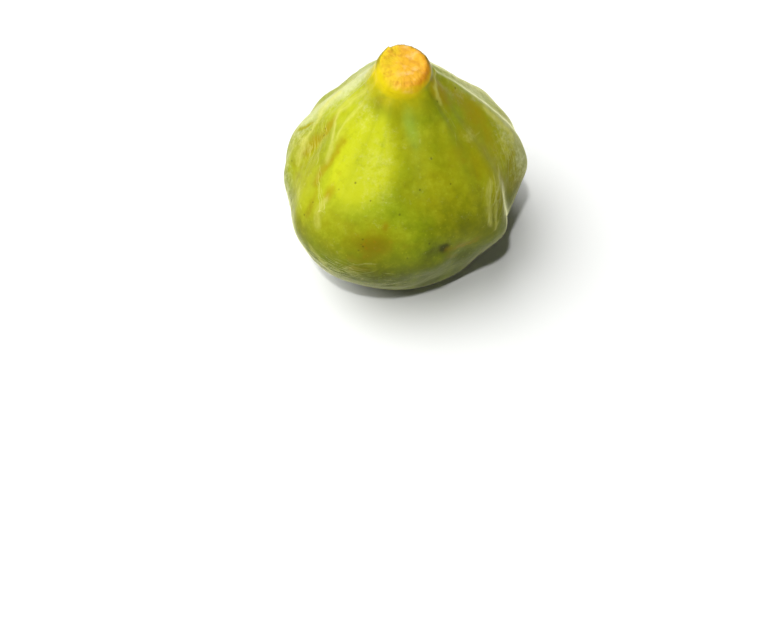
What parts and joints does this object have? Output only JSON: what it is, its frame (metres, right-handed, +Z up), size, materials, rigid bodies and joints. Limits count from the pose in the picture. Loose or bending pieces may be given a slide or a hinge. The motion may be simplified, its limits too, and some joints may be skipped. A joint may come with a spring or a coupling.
{
  "type": "fresh fig",
  "caption": "Whole ripe green fig standing on its blossom end, with a ribbed shoulder, a short neck and a cut stalk end.",
  "frame": {"origin": "on the surface that the fig stands on, under the middle of its outline", "axes": "+Z up along the fruit from the blossom end to the stalk end, -Y towards the side that the cut stalk end faces"},
  "size_m": [0.0522, 0.0548, 0.0494],
  "materials": {
    "fig_skin": "thin satin fruit skin, yellow-green with darker green, paler ribs and brown blemishes, and an orange-yellow scar at the cut stalk"
  },
  "bodies": {
    "root": {"fig": "fig_skin"}
  },
  "joints": []
}
